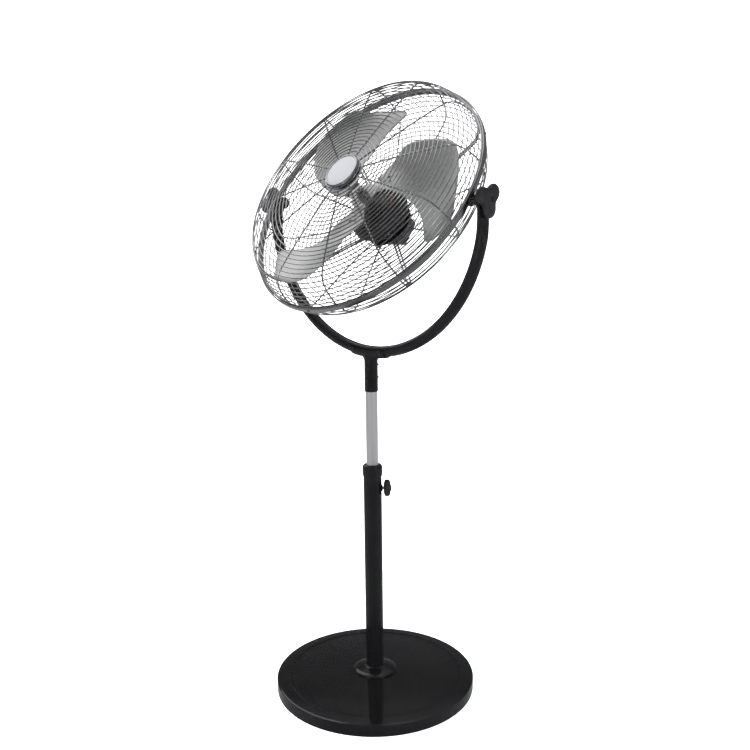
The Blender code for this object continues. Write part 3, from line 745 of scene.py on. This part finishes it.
def along_line(line, pitch):
    """Points a pitch apart along a line, from its inner end out to its start."""
    line = curve_through(line)[::-1]
    found = []
    travelled = 0
    wanted = pitch * 0.9
    for near, far in zip(line, line[1:]):
        length = (far - near).length
        while wanted <= travelled + length:
            found.append(near + (far - near) * (wanted - travelled) / length)
            wanted += pitch
        travelled += length
    return found


def spoke_line(line, heading, inset):
    """A spoke's path at a heading, inset from the cage's line so that the rings lie on it."""
    path = curve_through(line, 6)
    made = []
    for index, point in enumerate(path):
        ahead = (path[min(index + 1, len(path) - 1)] - path[max(index - 1, 0)]).normalized()
        shifted = point + Vector((-ahead.y, ahead.x)) * inset
        made.append(polar(shifted.x, heading, shifted.y))
    return made


def spoke_heading(spoke):
    return SPOKE_START + 2 * math.pi * spoke / SPOKES


def make_grille(name, line, pitch, inward, node, spokes=range(SPOKES)):
    """Rings welded to the outside of spokes. inward is 1 for the front guard and -1 for the rear one."""
    bm = bmesh.new()
    for point in along_line(line, pitch):
        hoop(bm, point.x, point.y, RING_WIRE, WIDE_SIDES if point.x > WIDE_RING else WIDE_SIDES // 2)
    inset = inward * (RING_WIRE + SPOKE_WIRE) * WELD_OVERLAP
    for spoke in spokes:
        rod(bm, spoke_line(line, spoke_heading(spoke), inset), SPOKE_WIRE)
    hoop(bm, RIM_R, line[0][1] - inward * 0.0002, EDGE_WIRE)
    add(name, bm, "head", "chrome", HEAD, [node])


def make_front_grille():
    """The front guard, with the plate behind the badge where its spokes meet."""
    make_grille("front_guard_wires", FRONT_LINE, FRONT_PITCH, 1, "front_grille")
    bm = bmesh.new()
    low = span("badge_bezel", HEAD)[2]
    plate = [(0, low - 0.0066), (0.0360, low - 0.0066), (0.0390, low - 0.0040), (0.0390, low - 0.0030)]
    plate += [(0.0350, low - 0.0052), (0, low - 0.0052)]
    lathe(bm, rounded(plate, 0.0008), FINE_SIDES)
    add("front_guard_centre", bm, "head", "chrome", HEAD)


def make_rear_grille():
    """Every third spoke of the rear guard is a pair of heavier rods, which carry the motor's plate."""
    heavy = range(1, SPOKES, 3)
    light = [spoke for spoke in range(SPOKES) if spoke not in heavy]
    make_grille("rear_guard_wires", REAR_LINE, REAR_PITCH, -1, "rear_grille", light)
    bm = bmesh.new()
    for spoke in heavy:
        for offset in (-0.0034, 0.0034):
            path = [Vector((point.x, offset, point.z)) for point in spoke_line(REAR_LINE, 0, -0.0028)]
            rod(bm, [turned(spoke_heading(spoke), "Z") @ point for point in path], SUPPORT_WIRE, 10)
    add("motor_support_rods", bm, "head", "chrome", HEAD)


def make_rim_band():
    """A rolled band with lips turned inwards, which holds both guards' edges."""
    skin = 0.0012
    outline = [(BAND_R, BAND_LOW + 0.0010), (BAND_R, BAND_HIGH - 0.0010), (BAND_R - skin, BAND_HIGH)]
    outline += [(BAND_IN, BAND_HIGH), (BAND_IN, BAND_HIGH - skin), (BAND_R - skin, BAND_HIGH - skin)]
    outline += [(BAND_R - skin, BAND_LOW + skin), (BAND_IN, BAND_LOW + skin), (BAND_IN, BAND_LOW)]
    outline += [(BAND_R - skin, BAND_LOW)]
    bm = lathed(rounded(outline, 0.0009), WIDE_SIDES)
    add("rim_band_polished", bm, "head", "chrome", HEAD, ["rim_band"])


def make_rim_screws():
    """Six screws through the band, each midway between two spokes."""
    seat = BAND_R + 0.0003
    for number, turn in enumerate(around(6)):
        heading = SPOKE_START + math.pi / SPOKES + turn
        within = moved(0, 0, RIM_Z) @ turned(heading, "Z") @ turned(math.pi / 2, "Y")
        bm = bmesh.new()
        pan_head(bm, 0.0036, seat, within)
        thread(bm, 0.0014, RIM_R - 0.004, seat, within, 0.0008)
        add(f"rim_screw_{number + 1}_plated", bm, "head", "steel", HEAD, [f"rim_screw_{number + 1}"])


def make_badge():
    """A plated bezel with a skirt behind it, and a blank domed disc."""
    _, outer, low, high = span("badge_bezel", HEAD)
    _, face_r, face_low, face_high = span("badge_face", HEAD)
    inner = face_r + 0.0003
    skirt_in, skirt_out, skirt_end = 0.0325, 0.0350, 0.0900
    outline = [(outer, low), (outer - 0.0012, high), (inner, high), (inner, low + 0.0016)]
    outline += [(skirt_in, low + 0.0016), (skirt_in, skirt_end), (skirt_out, skirt_end), (skirt_out, low)]
    bm = lathed(rounded(outline, 0.0009), WIDE_SIDES // 2)
    add("badge_surround", bm, "head", "chrome", HEAD, ["badge_bezel"])
    rise = 0.0010
    turns = [math.pi / 2 * step / 12 for step in range(12, 0, -1)]
    dome = [(face_r * math.sin(a), face_high - rise * (1 - math.cos(a))) for a in turns]
    bm = lathed([(0, face_low), (face_r, face_low)] + dome + [(0, face_high)], WIDE_SIDES // 2)
    add("badge_disc", bm, "head", "badge", HEAD, ["badge_face"])


# ---------------------------------------------------------------- pivots


def make_pivots():
    """Each side has a hex bolt, a disc inside the cage, a boss, the yoke's arm, a washer and a knob."""
    lobe_turn = math.radians(10)
    lobe_depth = 0.43

    def three_lobed(radius, height, angle):
        depth = lobe_depth * smooth_step((radius - 0.010) / 0.016)
        valley = (0.5 - 0.5 * math.cos(3 * (angle - lobe_turn))) ** 1.25
        return radius * (1 - depth * valley)

    for word, pivot in PIVOTS.items():
        pad = ring_outline(*span(f"pivot_inner_disc_{word}", pivot))
        bm = lathed(rounded(pad, 0.0008), FINE_SIDES)
        add(f"pivot_pad_{word}", bm, "head", "matte_black", pivot, [f"pivot_inner_disc_{word}"])

        inner, outer, low, high = span(f"pivot_boss_{word}", pivot)
        boss = [(inner, low), (outer - 0.0024, low), (outer, low + 0.0026), (outer, high), (inner, high)]
        bm = lathed(rounded(boss, 0.0012), FINE_SIDES, within=pivot)
        add(f"pivot_spacer_{word}", bm, "head", "matte_black", replaces=[f"pivot_boss_{word}"])

        _, _, low, high = span(f"tilt_bolt_{word}", pivot)
        bm = bmesh.new()
        hexagon(bm, 0.0110, low, low + 0.0045, pivot)
        thread(bm, 0.0038, low + 0.0040, high, pivot)
        add(f"tilt_bolt_{word}_hex", bm, "head", "steel", replaces=[f"tilt_bolt_{word}"])

        washer = ring_outline(*span(f"tilt_washer_{word}", pivot))
        body = f"tilt_washer_{word[0]}"
        bm = lathed(rounded(washer, 0.0004), FINE_SIDES, within=pivot)
        add(f"friction_washer_{word}", bm, body, "nylon", replaces=[f"tilt_washer_{word}"])

        _, outer, low, high = span(f"tilt_knob_{word}", pivot)
        bore, dimple = 0.0043, 0.0048
        bore_end, dimple_end = low + 0.0112, low + 0.0128
        outline = [(0, bore_end), (bore, bore_end), (bore, low), (0.0112, low), (0.0126, low + 0.0022)]
        outline += [(outer - 0.0012, low + 0.0028), (outer, low + 0.0050), (outer, low + 0.0080)]
        outline += [(outer - 0.0025, low + 0.0116), (0.0200, high - 0.0006), (0.0110, high)]
        outline += [(0.0056, high), (dimple, high - 0.0012), (dimple, dimple_end), (0, dimple_end)]
        body = f"tilt_knob_{word[0]}"
        bm = lathed(rounded(outline, 0.0018, 4), WIDE_SIDES, three_lobed, pivot)
        add(f"tilt_knob_{word}_moulded", bm, body, "matte_black", replaces=[f"tilt_knob_{word}"])


# ---------------------------------------------------------------- motor and controls


def vented_shell(bm, outline, slotted_row, skin):
    """A turned sheet. Between two points of its outline, slots leave out five faces of every eight."""
    rings = []
    for radius, height in outline:
        rings.append([bm.verts.new(polar(radius, angle, height)) for angle in around(SHELL_SIDES)])
    for row, (near, far) in enumerate(zip(rings, rings[1:])):
        for column in range(SHELL_SIDES):
            if row != slotted_row or column % 8 not in range(1, 6):
                after = (column + 1) % SHELL_SIDES
                bm.faces.new((near[column], near[after], far[after], far[column]))
    bmesh.ops.recalc_face_normals(bm, faces=bm.faces)
    bmesh.ops.solidify(bm, geom=bm.faces, thickness=skin)


def make_motor():
    """Two drawn shells with cooling slots and four screws, and the plate behind them with four more."""
    _, outer, split, front = span("motor_front_housing", HEAD)
    line = [(outer, split), (outer, -0.0400), (outer - 0.0004, -0.0300), (0.0618, -0.0232)]
    line += [(0.0560, -0.0195), (0.0480, -0.0178), (0.0340, -0.0172), (0.0210, -0.0164)]
    line += [(0.0185, -0.0140), (0.0165, front), (0.0068, front)]
    bm = bmesh.new()
    vented_shell(bm, line, 5, 0.0016)
    for bead in (0.0045, 0.0065):
        hoop(bm, outer, split + bead, 0.0008, SHELL_SIDES, 6)
    add("motor_front_shell", bm, "head", "motor_black", HEAD, ["motor_front_housing"])

    _, outer, rear, split = span("motor_rear_housing", HEAD)
    body = widest("motor_rear_housing", -0.066, -0.060, HEAD)
    line = [(outer, split - 0.0006), (body, split - 0.0008), (body, -0.0540), (body, -0.0600)]
    line += [(body, -0.0630), (body - 0.0010, -0.0655), (0.0490, -0.0705), (0.0300, -0.0728)]
    line += [(0.0200, -0.0735), (0.0180, -0.0766), (0.0080, rear)]
    bm = bmesh.new()
    vented_shell(bm, line, 2, 0.0014)
    add("motor_rear_shell", bm, "head", "motor_black", HEAD, ["motor_rear_housing"])

    bm = bmesh.new()
    for corner in range(4):
        within = moved(*polar(0.0600, math.radians(45 + 90 * corner)))
        hexagon(bm, 0.0056, split - 0.0056, split - 0.0024, within)
        thread(bm, 0.0018, split - 0.0072, split - 0.0050, within, 0.0010)
    add("motor_through_screws", bm, "head", "steel", HEAD)

    plate = span("motor_plate", HEAD)
    bm = lathed(rounded(ring_outline(*plate), 0.0006), WIDE_SIDES // 2)
    add("motor_plate_pressing", bm, "head", "matte_black", HEAD, ["motor_plate"])
    bm = bmesh.new()
    for corner in range(4):
        within = moved(*polar(0.0465, math.radians(90 * corner))) @ turned(math.pi, "X")
        pan_head(bm, 0.0036, -plate[2], within)
    add("motor_plate_screws", bm, "head", "steel", HEAD)


def make_controls():
    """The switch box behind the motor, with its pointer knob, scale dots, screws and cable gland."""
    into = HEAD.inverted()
    points = [into @ vert.co for vert in NODES["switch_box"].data.vertices]
    half_x = max(point.x for point in points)
    half_y = max(point.y for point in points)
    back = min(point.z for point in points)
    front = max(point.z for point in points)

    def outline(inset, corner):
        made = []
        for quarter in range(4):
            centre_x = (half_x - inset - corner) * (1 if quarter in (0, 3) else -1)
            centre_y = (half_y - inset - corner) * (1 if quarter in (0, 1) else -1)
            for step in range(7):
                angle = math.pi / 2 * (quarter + step / 6)
                made.append((centre_x + corner * math.cos(angle), centre_y + corner * math.sin(angle)))
        return made

    corner_r = 0.0075
    levels = [(0, front), (0, back + 0.0030), (0.0003, back + 0.0018), (0.0010, back + 0.0007)]
    levels += [(0.0020, back + 0.0001), (0.0032, back)]
    rings = [[Vector((x, y, z)) for x, y in outline(inset, corner_r - inset)] for inset, z in levels]
    bm = bmesh.new()
    loft(bm, rings)
    add("switch_box_moulding", bm, "head", "matte_black", HEAD, ["switch_box"])

    behind = turned(math.pi, "X")
    screw_inset = 0.0072
    bm = bmesh.new()
    for x in (screw_inset - half_x, half_x - screw_inset):
        for y in (screw_inset - half_y, half_y - screw_inset):
            pan_head(bm, 0.0030, -back, moved(x, y, 0) @ behind)
    add("switch_box_screws", bm, "head", "steel", HEAD)

    bm = bmesh.new()
    dot = [(0, -0.0004), (0.0011, -0.0004), (0.0013, 0.0002), (0, 0.0002)]
    for turn in (90, 45, 0, -45):
        lathe(bm, dot, COARSE_SIDES // 2, within=moved(*polar(0.0235, math.radians(turn), back)))
    add("speed_scale_dots", bm, "head", "nylon", HEAD)

    _, _, low, high = span("speed_knob", HEAD)
    start = back - 0.0003

    grip_half = 0.0052

    def grip(radius, height, angle):
        """A round skirt with a straight-sided grip across it that points at the scale."""
        if height > start - 0.0045 or radius < 0.004:
            return radius
        across = abs(math.cos(angle))
        return min(radius, grip_half / across) if across > 0.2 else radius

    outline = [(0, high), (0.0030, high), (0.0030, start), (0.0173, start), (0.0175, start - 0.0022)]
    outline += [(0.0160, start - 0.0044), (0.0148, start - 0.0048), (0.0140, low + 0.0012), (0.0128, low)]
    outline += [(0, low)]
    bm = lathed(rounded(outline, 0.0008), WIDE_SIDES // 2, grip)
    add("speed_knob_pointer", bm, "selector", "matte_black", HEAD, ["speed_knob"])

    within = moved(-0.0220, -half_y, back + 0.014) @ turned(math.pi / 2, "X")
    gland = [(0.0036, -0.0040), (0.0058, -0.0040), (0.0058, 0.0003), (0.0092, 0.0003), (0.0092, 0.0040)]
    gland += [(0.0074, 0.0050), (0.0070, 0.0110), (0.0052, 0.0148), (0.0036, 0.0150)]

    def ridged(radius, height, angle):
        """Twelve shallow ridges round the gland's nut."""
        if radius > 0.0091:
            return radius * (1 - 0.05 * (0.5 - 0.5 * math.cos(12 * angle)))
        return radius

    bm = lathed(rounded(gland, 0.0005), WIDE_SIDES // 2, ridged, within)
    add("cable_gland_nut", bm, "head", "matte_black", HEAD, ["cable_gland"])


# ---------------------------------------------------------------- rotor

BLADES = 3
BLADE_ROOT = 0.0450
BLADE_TIP = 0.2520
BLADE_CORNER = 0.2185
BLADE_Z = 0.0212
BLADE_SKIN = 0.0012
BLADE_PITCH = 0.0225
BLADE_CAMBER = 0.006


def blade_point(radius, across, turn):
    """A point of a blade's sheet. across runs from -1 on the trailing edge to 1 on the leading edge."""
    length = (radius - BLADE_ROOT) / (BLADE_TIP - BLADE_ROOT)
    middle = math.radians(40 - 45.5 * length ** 1.1)
    half = math.radians(28.5 - 2 * length)
    half *= 0.85 + 0.15 * smooth_step((radius - BLADE_ROOT) / 0.035)
    corner = (radius - BLADE_CORNER) / (BLADE_TIP + 0.0015 - BLADE_CORNER)
    if corner > 0:
        half *= math.sqrt(max(1 - corner ** 2, 0))
    twist = smooth_step((radius - 0.072) / 0.070)
    camber = BLADE_CAMBER * (1 - across ** 2)
    lift = twist * (BLADE_PITCH * across - camber + 0.0088 - 0.0071 * length)
    return polar(radius, turn + middle + half * across, BLADE_Z + lift)


def make_blades():
    """Pressed aluminium sheets, riveted to the hub's arms."""
    rows = 46
    columns = 30
    for number, turn in enumerate(around(BLADES)):
        bm = bmesh.new()
        grid = []
        for row in range(rows):
            # Rows crowd together towards the tip, whose corners are round.
            share = row / (rows - 1)
            radius = BLADE_ROOT + (BLADE_TIP - BLADE_ROOT) * math.sin(share * math.pi / 2)
            grid.append([bm.verts.new(blade_point(radius, across, turn)) for across in shares(columns)])
        for near, far in zip(grid, grid[1:]):
            for step in range(columns):
                bm.faces.new((near[step], near[step + 1], far[step + 1], far[step]))
        bmesh.ops.recalc_face_normals(bm, faces=bm.faces)
        blade = add(f"blade_{number + 1}_sheet", bm, "rotor", "aluminium", HEAD, [f"blade_{number + 1}"])
        skin = blade.modifiers.new("sheet", "SOLIDIFY")
        skin.thickness = BLADE_SKIN
        skin.offset = 0

        bm = bmesh.new()
        for radius, across in ((0.054, 0.0), (0.066, 0.22), (0.066, -0.22)):
            at = blade_point(radius, across, turn)
            rivet = [(0, 0), (0.0036, 0), (0.0034, 0.0010), (0.0022, 0.0019), (0, 0.0022)]
            lathe(bm, rounded(rivet, 0.0006), COARSE_SIDES, within=moved(at.x, at.y, BLADE_Z + 0.0006))
        add(f"blade_{number + 1}_rivets", bm, "rotor", "steel", HEAD)


def make_hub():
    """A spider with an arm under the middle of each blade's root, and the nut that holds it."""
    inner, outer, low, high = span("blade_hub", HEAD)
    boss, disc, web = 0.0125, 0.0240, 0.0300
    back, face = 0.0180, 0.0202
    arm_turn = math.radians(40)

    def three_armed(radius, height, angle):
        if radius < 0.020:
            return radius
        arm = max(math.cos(BLADES * (angle - arm_turn)), 0) ** 0.8
        return web + (radius - web) * arm

    outline = [(inner, low), (boss, low), (boss, back), (disc, back), (outer, back), (outer, face)]
    outline += [(disc, face), (boss, face), (boss, high), (inner, high)]
    bm = lathed(rounded(outline, 0.0006), WIDE_SIDES, three_armed)
    add("hub_spider", bm, "rotor", "steel", HEAD, ["blade_hub"])

    _, outer, low, high = span("hub_nut", HEAD)
    bm = bmesh.new()
    hexagon(bm, outer * math.sqrt(3), low, high)
    add("hub_lock_nut", bm, "rotor", "steel", HEAD, ["hub_nut"])


# ---------------------------------------------------------------- stage


def carry_over():
    """Gives the CAD nodes that stay their finished materials."""
    slots = {
        "iron": ["base_ballast"],
        "steel": ["base_nut", "pole_anchor", "stator_core", "bearing_front", "bearing_rear"]
        + ["motor_shaft", "rotor_core"],
        "nylon": ["guide_bush", "mast_end_plug", "speed_switch", "capacitor"],
        "copper": ["stator_winding"],
    }
    for slot, names in slots.items():
        for name in names:
            mesh = NODES[name].data
            mesh.materials.clear()
            mesh.materials.append(LOOKS[slot])


def make_camera():
    """A camera that looks at the pole from its heading, pitched down."""
    lens = bpy.data.cameras.new("camera")
    lens.sensor_width = 36
    lens.lens = CAMERA_LENS
    lens.shift_x, lens.shift_y = CAMERA_SHIFT
    camera = bpy.data.objects.new("camera", lens)
    bpy.context.scene.collection.objects.link(camera)
    heading = Vector((math.sin(CAMERA_HEADING), -math.cos(CAMERA_HEADING), 0))
    forward = -heading * math.cos(CAMERA_PITCH) - Vector((0, 0, math.sin(CAMERA_PITCH)))
    level = Vector((0, 0, 1)).cross(heading)
    camera.matrix_world = axis_frame(
        heading * CAMERA_DISTANCE + Vector((0, 0, CAMERA_HEIGHT)), -forward, level
    ) @ turned(CAMERA_ROLL, "Z")
    bpy.context.scene.camera = camera


def softbox(name, at, towards, size, power):
    """A white rectangular lamp that faces a point."""
    light = bpy.data.lights.new(name, "AREA")
    light.shape = "RECTANGLE"
    light.size, light.size_y = size
    light.energy = power
    lamp = bpy.data.objects.new(name, light)
    bpy.context.scene.collection.objects.link(lamp)
    lamp.location = at
    lamp.rotation_euler = (Vector(at) - Vector(towards)).to_track_quat("Z", "Y").to_euler()


def make_sweep():
    """A white floor that curves up into a wall all round. Gloss on the object doesn't see it."""
    floor_r, curve_r, wall = 5.0, 1.5, 6.0
    turns = [math.pi / 2 * step / 12 for step in range(1, 13)]
    outline = [(0.001, 0), (floor_r, 0)]
    outline += [(floor_r + curve_r * math.sin(a), curve_r * (1 - math.cos(a))) for a in turns]
    outline += [(floor_r + curve_r, wall)]
    bm = bmesh.new()
    rings = [[polar(radius, a, height) for a in around(WIDE_SIDES)] for radius, height in outline]
    loft(bm, rings, capped=False)
    bmesh.ops.remove_doubles(bm, verts=bm.verts, dist=0.01)
    mesh = bpy.data.meshes.new("studio_sweep")
    bm.to_mesh(mesh)
    bm.free()
    mesh.shade_smooth()
    paper = principled(
        "white_paper", (0.90, 0.90, 0.90), 0.0, 0.9, Specular_IOR_Level=0.0,
        Emission_Color=(1, 1, 1, 1), Emission_Strength=SWEEP_GLOW,
    )
    mesh.materials.append(paper)
    sweep = bpy.data.objects.new("studio_sweep", mesh)
    bpy.context.scene.collection.objects.link(sweep)
    sweep.visible_glossy = False
    sweep.visible_shadow = False


def make_world():
    """A studio: a pale floor and ceiling, darker walls, and the side with the camera darkest."""
    world = bpy.data.worlds.new("studio")
    world.use_nodes = True
    nodes, links = world.node_tree.nodes, world.node_tree.links
    place = nodes.new("ShaderNodeTexCoord")
    split = nodes.new("ShaderNodeSeparateXYZ")
    ramp = nodes.new("ShaderNodeValToRGB")
    spread = nodes.new("ShaderNodeMapRange")
    spread.inputs["From Min"].default_value = -1
    links.new(place.outputs["Generated"], split.inputs["Vector"])
    links.new(split.outputs["Z"], spread.inputs["Value"])
    links.new(spread.outputs["Result"], ramp.inputs["Fac"])
    stops = ((0.0, 0.36), (0.40, 0.38), (0.52, 0.26), (0.62, 0.13), (0.78, 0.10), (0.90, 0.45), (1.0, 0.80))
    while len(ramp.color_ramp.elements) < len(stops):
        ramp.color_ramp.elements.new(0.5)
    for element, (position, level) in zip(ramp.color_ramp.elements, stops):
        element.position = position
        element.color = (level, level, level * 1.02, 1)
    links.new(ramp.outputs["Color"], nodes["Background"].inputs["Color"])
    depth = nodes.new("ShaderNodeMapRange")
    depth.inputs["From Min"].default_value = -1
    depth.inputs["To Min"].default_value = WORLD_FRONT
    depth.inputs["To Max"].default_value = WORLD_BACK
    along = nodes.new("ShaderNodeVectorMath")
    along.operation = "DOT_PRODUCT"
    along.inputs[1].default_value = (-math.sin(CAMERA_HEADING), math.cos(CAMERA_HEADING), 0)
    links.new(place.outputs["Generated"], along.inputs[0])
    links.new(along.outputs["Value"], depth.inputs["Value"])
    links.new(depth.outputs["Result"], nodes["Background"].inputs["Strength"])
    bpy.context.scene.world = world


def make_stage():
    make_sweep()
    make_world()
    bpy.context.scene.view_settings.view_transform = "Standard"
    middle = (0, 0, 0.9)
    head = (0, 0, 1.1)
    softbox("left", (-2.1, 0.15, 2.6), head, (1.5, 2.3), 13)
    softbox("top", (-0.2, 0.2, 3.4), head, (2.4, 2.4), 4)
    softbox("left_strip", (0.4, -3.0, 1.1), middle, (0.3, 2.0), 5)
    softbox("right_strip", (3.0, -0.5, 1.1), middle, (0.3, 2.0), 5)


make_camera()
make_base()
make_flange()
make_lower_tube()
make_collar()
make_height_lock()
make_upper_tube()
make_yoke()
make_tee()
make_mast_screws()
make_front_grille()
make_rear_grille()
make_rim_band()
make_rim_screws()
make_badge()
make_pivots()
make_motor()
make_controls()
make_blades()
make_hub()
carry_over()
make_stage()
